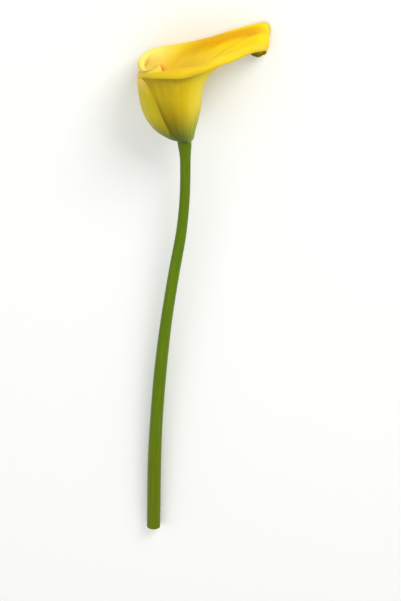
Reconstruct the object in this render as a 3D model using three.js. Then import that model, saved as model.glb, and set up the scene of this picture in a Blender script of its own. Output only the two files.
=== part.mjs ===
// A yellow arum lily flower, cut with its stalk and laid on a table. Millimetres, +Z up.
//
// The flower is built upright first: x right, y away, z up, with the top of its stem at the origin. Azimuths
// are degrees from +x towards -y, so 90 is the near side. The whole flower is then laid on its far side.
// Its three pieces are the spathe, which is one rolled leaf, the spadix inside it, and the stem.
import * as THREE from "three";

const RAD = THREE.MathUtils.DEG2RAD;
const UP = new THREE.Vector3(0, 0, 1);
const GAP = 0.3; // between pieces that touch

// The limb is the long lip of the spathe. It points this way, and rises as it goes.
const LIMB_AZIMUTH = -14;
const LIMB_RISE = 20;
const LIMB_ROLL = 25; // how far its face turns towards the near side

// The limb's end curls down and back from this point on, later and more tightly at its far edge.
const CURL_START = new THREE.Vector3(36.7, 9, 51.5);
const CURL_RADIUS = 4.6;
const CURL_TAPER = 0.25; // how much wider the curl is for each step nearer
const CURL_SKEW = 0.85; // how much sooner it starts for each step nearer
const CURL_TURN = 230 * RAD;

const SHEET_THICKNESS = 0.8;
const LIP_TURN = 125 * RAD; // how far the rim rolls outward and down
const FULL_LIP = 2.4; // a shorter lip than this turns less, down to none at PLAIN_LIP
const PLAIN_LIP = 0.4;

// The rolled leaf's two edges pass each other on the near side, the outer one in front. The azimuths are the
// outer edge's at the foot and the top of the funnel, and the overlap is how far the inner one goes past it.
const EDGE_AZIMUTH = { foot: 90, top: 113 };
const EDGE_BEND = 1.3; // over 1, the outer edge turns more near the top
const OVERLAP = { foot: -7, full: 24, start: 1, fullHeight: 10 };
const OUTER_LAP = 1; // how far the outer edge stands out from the funnel's wall
const INNER_LAP = 1.4; // how far the inner edge stands in from it
const LAP_HEIGHT = { start: -3, full: 6 }; // where the edges part from the wall

// The funnel: height, how far its centre leans away from the limb, radius.
const FUNNEL = [
  { height: 0.4, lean: 0, radius: 3.4 },
  { height: 1.2, lean: 0.8, radius: 4.9 },
  { height: 3.2, lean: 2.6, radius: 7.2 },
  { height: 6.4, lean: 4.6, radius: 9.6 },
  { height: 11.5, lean: 6.1, radius: 12.2 },
  { height: 18, lean: 6.9, radius: 14.4 },
  { height: 26, lean: 7.2, radius: 15.7 },
];
const FUNNEL_TOP = FUNNEL[FUNNEL.length - 1];
const MOUTH_HEIGHT = 42;

// Above the funnel the sheet flares out to the crest. A short flare stands up and arrives squarely, and a
// long one sweeps along the limb. The pulls are shares of the flare's own reach.
const FLARE_REACH = { short: 15, long: 42 };
const LEAVE_PULL = { short: 0.8, long: 1.15 };
const ARRIVE_PULL = { short: 0.65, long: 1.4 };
const SQUARENESS = 0.7;
const INNER_EDGE = { start: 0.75, full: 0.95 }; // shares of the way to the inner edge, over which this ends
const LIMB_TILT = { start: -26, full: -4 }; // where along the limb the rim tilts with it
const FLARE_EASE = 1.5; // over 1, the rows crowd towards the crest
const RIM_FAN = 0.55; // how far the columns follow the rim's azimuths rather than an even fan

// The cheek is where the sheet swells out to the left, under the rim on its closed side. Its place is a share
// of the way to the inner edge, and a height.
const CHEEK = { share: 0.64, shareWidth: 0.13, height: 34.2, heightWidth: 3.8, swell: 2.6 };

const COLUMNS_PER_SIDE = 23; // from the tip of the limb to either edge
const FLARE_ROWS = 14;
const LIP_ROWS = 4;

const SPADIX_SIDES = 16;
const SPADIX_PATH = [
  [0, 0, 0.15],
  [-2.4, -0.3, 13],
  [-6.4, 0, 27],
  [-11, 0.6, 40.5],
];
const SPADIX_RADIUS = 2.4;
const SPADIX_STALK_RADIUS = 1.6;
const SPADIX_TIP_RADIUS = 1.8;
const SPADIX_STALK_END = 0.08; // share of its length where the thick part begins
const SPADIX_BODY = [0.14, 0.3, 0.5, 0.7, 0.85, 0.94]; // shares of its length, each with a ring

const STEM_SIDES = 16;
const STEM_TOP_RADIUS = 2.6;
const STEM_FOOT_RADIUS = 3.7;
// The collar is the widening under the flower: shares of the stem's length, and what is added to the radius.
const STEM_COLLAR = [
  { share: 0, wider: 1.1 },
  { share: 0.017, wider: 0.6 },
  { share: 0.035, wider: 0.2 },
];
const STEM_COLLAR_END = 0.055;
const STEM_STEPS = 22;
const STEM_PATH = [
  [0, 0, -GAP],
  [0.4, 0, -8],
  [0.1, 0.2, -30],
  [-1.7, 0.6, -50],
  [-6, 1.2, -76],
  [-10.4, 1.4, -106],
  [-14, 1.2, -140],
  [-16.6, 0.7, -180],
  [-17.8, 0, -228],
];

// Laid down, the flower touches the table with its cut end, the far rim and the edge of the limb.
const LAY_PITCH = -85.492 * RAD;
const LAY_ROLL = 8.181 * RAD;

const FINISH = {
  spathe: { color: 0xe6b40f, roughness: 0.45 },
  spadix: { color: 0xeb9a1e, roughness: 0.7 },
  stem: { color: 0x66811a, roughness: 0.5 },
};

const { smoothstep, lerp } = THREE.MathUtils;

function direction(azimuth) {
  return new THREE.Vector3(Math.cos(azimuth * RAD), -Math.sin(azimuth * RAD), 0);
}

const limbLevel = direction(LIMB_AZIMUTH);
const limbAlong = limbLevel.clone()
  .multiplyScalar(Math.cos(LIMB_RISE * RAD))
  .addScaledVector(UP, Math.sin(LIMB_RISE * RAD));
const limbNear = direction(LIMB_AZIMUTH + 90).applyAxisAngle(limbAlong, LIMB_ROLL * RAD);
const limbLift = new THREE.Vector3().crossVectors(limbNear, limbAlong).normalize();

function limbPoint(along, near, lift) {
  return CURL_START.clone()
    .addScaledVector(limbAlong, along)
    .addScaledVector(limbNear, near)
    .addScaledVector(limbLift, lift);
}

// The crest is the highest line of the rim, before the end of the limb is curled. Each entry is a place on it
// and the length of the lip that rolls over there.
const mouthCrest = (x, y, z, lip) => ({ place: new THREE.Vector3(x, y, z), lip });
const limbCrest = (along, near, lift, lip) => ({ place: limbPoint(along, near, lift), lip });

const FAR_CREST = [
  mouthCrest(-12.4, -2.6, 41.3, 0.4),
  mouthCrest(-15.2, -5.2, 40.2, 0.5),
  mouthCrest(-18, -6, 39, 0.7),
  mouthCrest(-20.3, -3.4, 38.9, 1.3),
  mouthCrest(-21.4, 1.8, 40.6, 1.9),
  mouthCrest(-20.2, 9.8, 42, 3.6),
  mouthCrest(-15.8, 17.6, 42.1, 4),
  mouthCrest(-8.8, 20.9, 42.5, 4.2),
  mouthCrest(-0.5, 19.7, 44.1, 4.4),
  mouthCrest(8, 17.9, 47.1, 4.4),
  mouthCrest(17, 16, 49.9, 4.2),
  mouthCrest(26, 15.2, 52.6, 3.8),
  limbCrest(0, -7.6, 0.6, 3),
  limbCrest(4.5, -6.6, 0.6, 2.2),
  limbCrest(8.5, -4.6, 0.4, 1.2),
  limbCrest(12.5, -3, 0.2, 0.5),
  limbCrest(18.5, -2, 0, 0.4),
  limbCrest(22.1, -1, 0, 0.4),
  limbCrest(23.3, 0, 0, 0.4),
];
const NEAR_CREST = [
  limbCrest(23.3, 0, 0, 0.4),
  limbCrest(22.1, 1, 0, 0.4),
  limbCrest(18.5, 2, 0, 0.4),
  limbCrest(12.5, 2.7, 0.1, 0.5),
  limbCrest(8.5, 3.7, 0.2, 0.9),
  limbCrest(4.5, 4.6, 0.4, 1.6),
  limbCrest(0, 5.6, 0.6, 2.6),
  mouthCrest(29.5, -3.4, 49.6, 4),
  mouthCrest(22.5, -7.8, 47.9, 4.4),
  mouthCrest(15.5, -12, 47, 4.6),
  mouthCrest(8.5, -15, 45, 4.8),
  mouthCrest(1, -17.4, 44, 4.8),
  mouthCrest(-7.5, -17.8, 43, 4.6),
  mouthCrest(-15, -15.2, 41.2, 3.4),
  mouthCrest(-19.4, -11.4, 38.8, 1.6),
  mouthCrest(-22.2, -7.6, 36, 0.5),
];

// Evenly spaced places along one side's crest, each with its tangent and lip length.
function sampleCrest(crest, count) {
  const curve = new THREE.CatmullRomCurve3(crest.map((entry) => entry.place), false, "centripetal");
  const samples = [];
  for (let i = 0; i <= count; i++) {
    const t = curve.getUtoTmapping(i / count);
    const along = t * (crest.length - 1);
    const before = Math.min(Math.floor(along), crest.length - 2);
    const lip = lerp(crest[before].lip, crest[before + 1].lip, along - before);
    samples.push({ place: curve.getPoint(t), tangent: curve.getTangent(t), lip });
  }
  return samples;
}

// Bends everything past CURL_START round a cone across the limb.
function curl(point) {
  const offset = point.clone().sub(CURL_START);
  const near = offset.dot(limbNear);
  const start = -CURL_SKEW * near;
  const along = offset.dot(limbAlong) - start;
  if (along <= 0) return point;
  const radius = CURL_RADIUS + CURL_TAPER * near;
  const turn = Math.min(along / radius, CURL_TURN);
  const rest = along - radius * turn;
  const reach = radius + offset.dot(limbLift);
  const sin = Math.sin(turn);
  const cos = Math.cos(turn);
  return limbPoint(start + reach * sin + rest * cos, near, reach * cos - radius - rest * sin);
}

// One line of the spathe from the stem up the funnel, out to the crest and over the lip.
function spatheColumn({ place, tangent, lip }, azimuth, outerShare, innerShare, rim) {
  const lap = OUTER_LAP * outerShare ** 3 - INNER_LAP * innerShare ** 3;
  const points = FUNNEL.map(({ height, lean, radius }) => {
    const outerEdge = lerp(EDGE_AZIMUTH.foot, EDGE_AZIMUTH.top, (height / FUNNEL_TOP.height) ** EDGE_BEND);
    const overlap = lerp(OVERLAP.foot, OVERLAP.full, smoothstep(height, OVERLAP.start, OVERLAP.fullHeight));
    const innerEdge = outerEdge - overlap - 360;
    const turn = (outerEdge - rim.outer) * outerShare ** 2 + (innerEdge - rim.inner) * innerShare ** 2;
    const reach = radius + lap * smoothstep(height, LAP_HEIGHT.start, LAP_HEIGHT.full);
    return direction(azimuth + turn)
      .multiplyScalar(reach)
      .addScaledVector(limbLevel, -lean)
      .addScaledVector(UP, height);
  });
  const start = points[points.length - 1];
  const climb = start.clone().sub(points[points.length - 2]).normalize();
  const onLimb = smoothstep(place.clone().sub(CURL_START).dot(limbAlong), LIMB_TILT.start, LIMB_TILT.full);
  const level = UP.clone().lerp(limbLift, onLimb).normalize();
  const outward = new THREE.Vector3().crossVectors(level, tangent).normalize();
  const ahead = place.clone().sub(start);
  const reach = ahead.length();
  ahead.addScaledVector(level, -ahead.dot(level)).normalize();
  const long = smoothstep(reach, FLARE_REACH.short, FLARE_REACH.long);
  const square = SQUARENESS * (1 - long) * (1 - smoothstep(innerShare, INNER_EDGE.start, INNER_EDGE.full));
  const leave = climb.multiplyScalar(reach * lerp(LEAVE_PULL.short, LEAVE_PULL.long, long));
  const arrival = outward.clone()
    .multiplyScalar(square)
    .addScaledVector(ahead, lerp(0.5, 1, long))
    .setLength(reach * lerp(ARRIVE_PULL.short, ARRIVE_PULL.long, long));
  for (let row = 1; row <= FLARE_ROWS; row++) {
    const s = 1 - (1 - row / FLARE_ROWS) ** FLARE_EASE;
    points.push(hermite(start, leave, place, arrival, s));
  }
  const lipTurn = LIP_TURN * Math.max(smoothstep(lip, PLAIN_LIP, FULL_LIP), 0.01);
  for (let row = 1; row <= LIP_ROWS; row++) {
    const turn = (lipTurn * row) / LIP_ROWS;
    points.push(
      place.clone()
        .addScaledVector(outward, (lip / lipTurn) * Math.sin(turn))
        .addScaledVector(level, (lip / lipTurn) * (Math.cos(turn) - 1)),
    );
  }
  return points.map((point) => curl(swollen(point, innerShare)));
}

function swollen(point, innerShare) {
  const beside = ((innerShare - CHEEK.share) / CHEEK.shareWidth) ** 2;
  const above = ((point.z - CHEEK.height) / CHEEK.heightWidth) ** 2;
  point.x -= CHEEK.swell * Math.exp(-beside - above);
  return point;
}

function hermite(start, leave, end, arrival, s) {
  return start.clone()
    .multiplyScalar(2 * s ** 3 - 3 * s ** 2 + 1)
    .addScaledVector(leave, s ** 3 - 2 * s ** 2 + s)
    .addScaledVector(end, 3 * s ** 2 - 2 * s ** 3)
    .addScaledVector(arrival, s ** 3 - s ** 2);
}

// The azimuth of each crest sample round the mouth, unwrapped outwards from the limb's tip.
function rimAzimuths(samples, sign) {
  const mouth = limbLevel.clone().multiplyScalar(-FUNNEL_TOP.lean).addScaledVector(UP, MOUTH_HEIGHT);
  let turned = 0;
  return samples.map(({ place }) => {
    const offset = place.clone().sub(mouth);
    const raw = Math.atan2(-offset.y, offset.x) / RAD - LIMB_AZIMUTH;
    const wrapped = turned + THREE.MathUtils.euclideanModulo(raw - turned + 180, 360) - 180;
    turned = wrapped * sign < 0 ? 0 : wrapped;
    return LIMB_AZIMUTH + turned;
  });
}

function spatheGrid() {
  const outer = sampleCrest(NEAR_CREST, COLUMNS_PER_SIDE);
  const inner = sampleCrest(FAR_CREST, COLUMNS_PER_SIDE).reverse();
  const outerRim = rimAzimuths(outer, 1);
  const innerRim = rimAzimuths(inner, -1);
  const rim = { outer: outerRim[COLUMNS_PER_SIDE], inner: innerRim[COLUMNS_PER_SIDE] };
  const columnAt = (sample, rimAzimuth, edge, i) => {
    const fan = lerp(LIMB_AZIMUTH, edge, i / COLUMNS_PER_SIDE);
    const azimuth = lerp(fan, rimAzimuth, RIM_FAN);
    const share = (azimuth - LIMB_AZIMUTH) / (edge - LIMB_AZIMUTH);
    return edge > 0
      ? spatheColumn(sample, azimuth, share, 0, rim)
      : spatheColumn(sample, azimuth, 0, share, rim);
  };
  const near = outer.map((sample, i) => columnAt(sample, outerRim[i], rim.outer, i));
  const far = inner.map((sample, i) => columnAt(sample, innerRim[i], rim.inner, i));
  return [...far.slice(1).reverse(), ...near];
}

// A closed sheet of even thickness about a grid of points: the grid's two sides and a strip round its edge.
function sheetGeometry(grid, thickness) {
  const columns = grid.length;
  const rows = grid[0].length;
  const top = (i, j) => i * rows + j;
  const bottom = (i, j) => columns * rows + top(i, j);
  const index = [];
  const quad = (a, b, c, d) => index.push(a, b, c, a, c, d);
  for (let i = 0; i + 1 < columns; i++) {
    for (let j = 0; j + 1 < rows; j++) {
      quad(top(i, j), top(i + 1, j), top(i + 1, j + 1), top(i, j + 1));
    }
  }
  const middle = grid.flat();
  const normals = indexedGeometry(middle.flatMap((p) => p.toArray()), index).getAttribute("normal");
  const shifted = (distance) => middle.flatMap((p, k) => {
    const normal = new THREE.Vector3().fromBufferAttribute(normals, k);
    return p.clone().addScaledVector(normal, distance).toArray();
  });
  for (let i = 0; i + 1 < columns; i++) {
    for (let j = 0; j + 1 < rows; j++) {
      quad(bottom(i, j), bottom(i, j + 1), bottom(i + 1, j + 1), bottom(i + 1, j));
    }
    quad(top(i, 0), bottom(i, 0), bottom(i + 1, 0), top(i + 1, 0));
    quad(top(i, rows - 1), top(i + 1, rows - 1), bottom(i + 1, rows - 1), bottom(i, rows - 1));
  }
  for (let j = 0; j + 1 < rows; j++) {
    quad(top(0, j), top(0, j + 1), bottom(0, j + 1), bottom(0, j));
    quad(top(columns - 1, j), bottom(columns - 1, j), bottom(columns - 1, j + 1), top(columns - 1, j + 1));
  }
  return indexedGeometry([...shifted(thickness / 2), ...shifted(-thickness / 2)], index);
}

function indexedGeometry(positions, index) {
  const geometry = new THREE.BufferGeometry();
  geometry.setAttribute("position", new THREE.Float32BufferAttribute(positions, 3));
  geometry.setIndex(index);
  geometry.computeVertexNormals();
  return geometry;
}

// A round rod along a curve: rings at the given shares of its length, closed by a flat cap at each end.
function rodGeometry(path, sides, rings) {
  const curve = new THREE.CatmullRomCurve3(path.map((p) => new THREE.Vector3(...p)), false, "centripetal");
  const positions = [];
  rings.forEach(({ share, radius }) => {
    const centre = curve.getPointAt(share);
    const along = curve.getTangentAt(share);
    const right = new THREE.Vector3(1, 0, 0).addScaledVector(along, -along.x).normalize();
    const forward = new THREE.Vector3().crossVectors(along, right);
    for (let k = 0; k < sides; k++) {
      const angle = (2 * Math.PI * k) / sides;
      positions.push(
        ...centre.clone()
          .addScaledVector(right, radius * Math.cos(angle))
          .addScaledVector(forward, radius * Math.sin(angle))
          .toArray(),
      );
    }
  });
  const startCentre = positions.length / 3;
  positions.push(...curve.getPointAt(0).toArray(), ...curve.getPointAt(1).toArray());
  const index = [];
  const last = (rings.length - 1) * sides;
  for (let k = 0; k < sides; k++) {
    const next = (k + 1) % sides;
    for (let ring = 0; ring < last; ring += sides) {
      index.push(ring + k, ring + next, ring + sides + next, ring + k, ring + sides + next, ring + sides + k);
    }
    index.push(startCentre, next, k, startCentre + 1, last + k, last + next);
  }
  return indexedGeometry(positions, index);
}

function spadixRings() {
  const rings = [
    { share: 0, radius: SPADIX_STALK_RADIUS },
    { share: SPADIX_STALK_END, radius: SPADIX_STALK_RADIUS },
  ];
  for (const share of SPADIX_BODY) {
    rings.push({ share, radius: lerp(SPADIX_RADIUS, SPADIX_TIP_RADIUS, share ** 2) });
  }
  rings.push({ share: 0.98, radius: 0.75 * SPADIX_TIP_RADIUS });
  rings.push({ share: 1, radius: 0.35 * SPADIX_TIP_RADIUS });
  return rings;
}

function stemRings() {
  const rings = STEM_COLLAR.map(({ share, wider }) => ({ share, radius: STEM_TOP_RADIUS + wider }));
  for (let i = 0; i < STEM_STEPS; i++) {
    const share = lerp(STEM_COLLAR_END, 1, i / (STEM_STEPS - 1));
    rings.push({ share, radius: lerp(STEM_TOP_RADIUS, STEM_FOOT_RADIUS, smoothstep(share, 0, 1)) });
  }
  return rings;
}

function piece(name, geometry) {
  const mesh = new THREE.Mesh(geometry, new THREE.MeshStandardMaterial({ ...FINISH[name], metalness: 0 }));
  mesh.name = name;
  return mesh;
}

const upright = new THREE.Group();
upright.add(piece("spathe", sheetGeometry(spatheGrid(), SHEET_THICKNESS)));
upright.add(piece("spadix", rodGeometry(SPADIX_PATH, SPADIX_SIDES, spadixRings())));
upright.add(piece("stem", rodGeometry(STEM_PATH, STEM_SIDES, stemRings())));

// Laid on its far side and rolled a little, then set down with the table at z = 0 under its middle.
const flower = new THREE.Group();
flower.rotation.set(0, LAY_ROLL, 0);
upright.rotation.set(LAY_PITCH, 0, 0);
flower.add(upright);

const part = new THREE.Group();
part.add(flower);
part.updateMatrixWorld(true);
const box = new THREE.Box3().setFromObject(part, true);
const middle = box.getCenter(new THREE.Vector3());
flower.position.set(-middle.x, -middle.y, -box.min.z);

export default part;
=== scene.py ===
"""A yellow arum lily flower, cut with its stem and laid on a pale table.

The flower is shaped upright and in millimetres: x right, y away, z up, with the top of the stem at the
origin. Azimuths are degrees from +x towards -y, so 90 is the near side. Each finished piece is then laid
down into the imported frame, in metres.
"""
import logging
import math
from dataclasses import dataclass, field
from enum import Enum
from itertools import product
from typing import Callable

import bmesh
import bpy
import numpy as np
from mathutils import Matrix, Vector


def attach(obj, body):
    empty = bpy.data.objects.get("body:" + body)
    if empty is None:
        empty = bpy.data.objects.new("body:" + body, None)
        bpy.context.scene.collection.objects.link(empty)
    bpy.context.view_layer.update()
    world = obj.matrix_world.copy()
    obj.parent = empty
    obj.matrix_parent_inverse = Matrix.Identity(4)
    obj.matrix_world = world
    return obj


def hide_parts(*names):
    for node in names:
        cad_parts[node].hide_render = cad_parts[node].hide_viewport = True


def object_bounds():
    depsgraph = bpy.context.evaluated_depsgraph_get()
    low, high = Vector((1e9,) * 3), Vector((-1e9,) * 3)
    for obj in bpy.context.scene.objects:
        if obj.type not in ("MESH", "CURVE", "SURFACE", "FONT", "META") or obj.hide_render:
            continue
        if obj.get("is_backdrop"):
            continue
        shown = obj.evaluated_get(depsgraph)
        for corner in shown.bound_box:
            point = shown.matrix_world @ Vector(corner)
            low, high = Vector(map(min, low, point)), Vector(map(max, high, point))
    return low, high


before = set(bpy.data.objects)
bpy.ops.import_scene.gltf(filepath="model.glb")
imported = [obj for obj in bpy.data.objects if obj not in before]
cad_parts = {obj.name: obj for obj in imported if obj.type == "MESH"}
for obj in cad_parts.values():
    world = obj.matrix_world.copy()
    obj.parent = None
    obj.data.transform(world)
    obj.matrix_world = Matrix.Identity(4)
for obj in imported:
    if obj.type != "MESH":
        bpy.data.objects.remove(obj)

log = logging.getLogger("arum_lily")

Array = np.ndarray
Numbers = np.ndarray | float
Triple = tuple[float, float, float]
Pair = tuple[float, float]
Piece = bpy.types.Object
Material = bpy.types.Material
Socket = bpy.types.NodeSocket

UP = np.array([0.0, 0.0, 1.0])
MM = 0.001


class Side(Enum):
    """The two sides of the spathe, from the tip of its limb round to either edge."""

    NEAR = 1
    FAR = -1


class Face(Enum):
    """The two faces of the spathe's sheet."""

    OUTSIDE = 0
    INSIDE = 1


# Small mathematics


def smoothstep(value: Numbers, low: float, high: float) -> Numbers:
    """Eases from 0 at low to 1 at high."""
    share = np.clip((np.asarray(value, float) - low) / (high - low), 0, 1)
    return share * share * (3 - 2 * share)


def lerp(start: Numbers, end: Numbers, share: Numbers) -> Numbers:
    """Goes evenly from start to end."""
    return start + (end - start) * share


def unit(vectors: Array) -> Array:
    """Gives each vector a length of one."""
    return vectors / np.linalg.norm(vectors, axis=-1, keepdims=True)


def direction(azimuth: Numbers) -> Array:
    """Turns azimuths in degrees into level unit vectors."""
    angle = np.radians(azimuth)
    return np.stack([np.cos(angle), -np.sin(angle), np.zeros_like(angle)], axis=-1)


class SmoothPath:
    """A smooth curve through points, with places by share of its length."""

    def __init__(self, points: Array, per_span: int = 60) -> None:
        """Measures the curve.

        Args:
            points: the places it goes through, one row each.
            per_span: how many short chords measure each span.
        """
        points = np.asarray(points, float)
        self.points = np.vstack([2 * points[0] - points[1], points, 2 * points[-1] - points[-2]])
        self.spans = len(points) - 1
        self.steps = np.linspace(0, self.spans, self.spans * per_span + 1)
        chords = np.linalg.norm(np.diff(self._at_step(self.steps)[0], axis=0), axis=1)
        self.arc = np.concatenate([[0], np.cumsum(chords)])
        self.length = self.arc[-1]

    def _at_step(self, step: Array) -> tuple[Array, Array]:
        """Finds places and tangents where step counts spans.

        Args:
            step: how many spans lie before each place.

        Returns:
            The places, and the unit tangents there.
        """
        span = np.minimum(step.astype(int), self.spans - 1)
        t = (step - span)[:, None]
        p0, p1, p2, p3 = (self.points[span + k] for k in range(4))
        pairs = ((p0, p1), (p1, p2), (p2, p3))
        d0, d1, d2 = (np.linalg.norm(b - a, axis=1)[:, None] ** 0.5 for a, b in pairs)
        leave = ((p1 - p0) / d0 - (p2 - p0) / (d0 + d1) + (p2 - p1) / d1) * d1
        arrive = ((p2 - p1) / d1 - (p3 - p1) / (d1 + d2) + (p3 - p2) / d2) * d1
        square = -3 * p1 + 3 * p2 - 2 * leave - arrive
        cube = 2 * p1 - 2 * p2 + leave + arrive
        place = p1 + leave * t + square * t**2 + cube * t**3
        return place, unit(leave + 2 * square * t + 3 * cube * t**2)

    def at(self, share: Array) -> tuple[Array, Array, Array]:
        """Finds places by share of the length: the places, the tangents, and how many spans lie before."""
        step = np.interp(np.asarray(share, float) * self.length, self.arc, self.steps)
        return *self._at_step(step), step


@dataclass(frozen=True)
class Lie:
    """How the upright flower is laid on the table: on its far side, rolled a little."""

    pitch: float = -85.492
    roll: float = 8.181
    shift: Triple = (-8.5843, 84.8427, 18.8614)

    def turn(self) -> Array:
        """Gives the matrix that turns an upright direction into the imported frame."""
        pitch = Matrix.Rotation(math.radians(self.pitch), 3, "X")
        return np.array(Matrix.Rotation(math.radians(self.roll), 3, "Y") @ pitch)

    def down(self, points: Array) -> Array:
        """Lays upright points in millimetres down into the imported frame, in metres."""
        return (points @ self.turn().T + np.array(self.shift)) * MM


LIE = Lie()


# The shape of the spathe


@dataclass(frozen=True)
class Limb:
    """The long lip of the spathe. Its face leans to the near side, and its end curls down and back."""

    azimuth: float = -14.0
    rise: float = 20.0
    roll: float = 25.0
    length: float = 23.3  # from the start of the curl to the tip, before it is curled
    curl_start: Triple = (36.7, 9.0, 51.5)
    curl_radius: float = 4.6
    least_radius: float = 0.1
    curl_taper: float = 0.25  # how much wider the curl is for each step nearer
    curl_skew: float = 0.85  # how much sooner it starts for each step nearer
    curl_turn: float = math.radians(230)

    def level(self) -> Array:
        """Points the way the limb runs, level."""
        return direction(self.azimuth)

    def axes(self) -> Array:
        """Finds the limb's own directions.

        Returns:
            Unit vectors along it, to its near side, and off its upper face.
        """
        rise, roll = math.radians(self.rise), math.radians(self.roll)
        along = self.level() * math.cos(rise) + UP * math.sin(rise)
        across = direction(self.azimuth + 90)
        near = across * math.cos(roll) - np.cross(across, along) * math.sin(roll)
        return np.array([along, near, np.cross(near, along)])

    def place(self, along: float, near: float, lift: float) -> Array:
        """Finds a point from its distances off the start of the curl."""
        return np.array(self.curl_start) + np.array([along, near, lift]) @ self.axes()

    def own(self, points: Array) -> Array:
        """Gives points as distances along, near and off the limb."""
        return (points - np.array(self.curl_start)) @ self.axes().T

    def curl(self, points: Array) -> Array:
        """Bends all that lies past the start of the curl round a cone across the limb.

        Args:
            points: upright points before the bend.

        Returns:
            The points after it.
        """
        along, near, lift = np.moveaxis(self.own(points), -1, 0)
        start = -self.curl_skew * near
        radius = np.maximum(self.curl_radius + self.curl_taper * near, self.least_radius)
        turn = np.clip((along - start) / radius, 0, self.curl_turn)
        rest = along - start - radius * turn
        sin, cos = np.sin(turn), np.cos(turn)
        past = start + (radius + lift) * sin + rest * cos
        bent = np.stack([past, near, (radius + lift) * cos - radius - rest * sin], axis=-1)
        return np.array(self.curl_start) + bent @ self.axes()


@dataclass(frozen=True)
class CrestSamples:
    """Evenly spaced places along one side of the rim, from one end to the other."""

    place: Array
    tangent: Array
    lip: Array


@dataclass(frozen=True)
class Crest:
    """The highest line of the rim before the limb is curled: places, each with the lip's length there.

    The limb's places are distances along, near and off the limb, from the start of its curl.
    """

    limb: Limb
    far_mouth: tuple = (
        (-12.4, -2.6, 41.3, 0.4),
        (-15.2, -5.2, 40.2, 0.5),
        (-18.0, -6.0, 39.0, 0.7),
        (-20.3, -3.4, 38.9, 1.3),
        (-21.4, 1.8, 40.6, 1.9),
        (-20.2, 9.8, 42.0, 3.6),
        (-15.8, 17.6, 42.1, 4.0),
        (-8.8, 20.9, 42.5, 4.2),
        (-0.5, 19.7, 44.1, 4.4),
        (8.0, 17.9, 47.1, 4.4),
        (17.0, 16.0, 49.9, 4.2),
        (26.0, 15.2, 52.6, 3.8),
    )
    far_limb: tuple = (
        (0.0, -7.6, 0.6, 3.0),
        (4.5, -6.6, 0.6, 2.2),
        (8.5, -4.6, 0.4, 1.2),
        (12.5, -3.0, 0.2, 0.5),
        (18.5, -2.0, 0.0, 0.4),
        (22.1, -1.0, 0.0, 0.4),
        (23.3, 0.0, 0.0, 0.4),
    )
    near_limb: tuple = (
        (23.3, 0.0, 0.0, 0.4),
        (22.1, 1.0, 0.0, 0.4),
        (18.5, 2.0, 0.0, 0.4),
        (12.5, 2.7, 0.1, 0.5),
        (8.5, 3.7, 0.2, 0.9),
        (4.5, 4.6, 0.4, 1.6),
        (0.0, 5.6, 0.6, 2.6),
    )
    near_mouth: tuple = (
        (29.5, -3.4, 49.6, 4.0),
        (22.5, -7.8, 47.9, 4.4),
        (15.5, -12.0, 47.0, 4.6),
        (8.5, -15.0, 45.0, 4.8),
        (1.0, -17.4, 44.0, 4.8),
        (-7.5, -17.8, 43.0, 4.6),
        (-15.0, -15.2, 41.2, 3.4),
        (-19.4, -11.4, 38.8, 1.6),
        (-22.2, -7.6, 36.0, 0.5),
    )

    def samples(self, side: Side, count: int) -> CrestSamples:
        """Walks one side of the rim in even steps.

        Args:
            side: which side of the limb's tip.
            count: how many steps to take.

        Returns:
            count + 1 samples, from the inner edge to the tip or from the tip to the outer edge.
        """
        if side is Side.FAR:
            entries = list(self.far_mouth)
            entries += [(*self.limb.place(*row[:3]), row[3]) for row in self.far_limb]
        else:
            entries = [(*self.limb.place(*row[:3]), row[3]) for row in self.near_limb]
            entries += self.near_mouth
        table = np.array(entries, float)
        place, tangent, step = SmoothPath(table[:, :3]).at(np.linspace(0, 1, count + 1))
        lip = np.interp(step, np.arange(len(table)), table[:, 3])
        return CrestSamples(place, tangent, lip)


@dataclass(frozen=True)
class Funnel:
    """The tube of the spathe round the spadix. A station is its height, lean off the limb and radius."""

    stations: tuple = (
        (-0.9, 0.0, 2.9),
        (0.4, 0.1, 3.7),
        (1.4, 0.9, 5.1),
        (3.2, 2.6, 7.2),
        (6.4, 4.6, 9.6),
        (11.5, 6.1, 12.2),
        (18.0, 6.9, 14.4),
        (26.0, 7.2, 15.7),
    )
    outer_edge: Triple = (90.0, 113.0, 1.3)  # azimuth at the foot and top, and its bend
    overlap: Pair = (3.0, 24.0)  # degrees at the foot and above
    overlap_rise: Pair = (1.0, 10.0)
    outer_lap: float = 1.0
    inner_lap: float = 1.4
    lap_rise: Pair = (-3.0, 6.0)
    row_ease: float = 1.15

    @property
    def top(self) -> Triple:
        """The last station: height, lean and radius."""
        return self.stations[-1]

    def profile(self, rows: int) -> Array:
        """Gives height, lean and radius at each row, closer together towards the foot."""
        share = np.linspace(0, 1, rows) ** self.row_ease
        return SmoothPath(np.array(self.stations)).at(share)[0]


@dataclass(frozen=True)
class Flare:
    """How the sheet goes on from the funnel to the crest, and rolls over there."""

    reach: Pair = (15.0, 42.0)  # a short stretch's and a long one's, as in the three pairs below
    leave_pull: Pair = (0.8, 1.15)
    arrive_pull: Pair = (0.65, 1.4)
    aheadness: Pair = (0.5, 1.0)
    squareness: float = 0.7  # how much a short stretch turns outward before it meets the crest
    inner_edge: Pair = (0.75, 0.95)
    limb_tilt: Pair = (-26.0, -4.0)  # where along the limb the crest takes up its tilt
    ease: float = 1.4
    lip_turn: float = math.radians(125)
    plain_lip: float = 0.4
    full_lip: float = 2.4
    least_roll: float = 0.01


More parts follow.
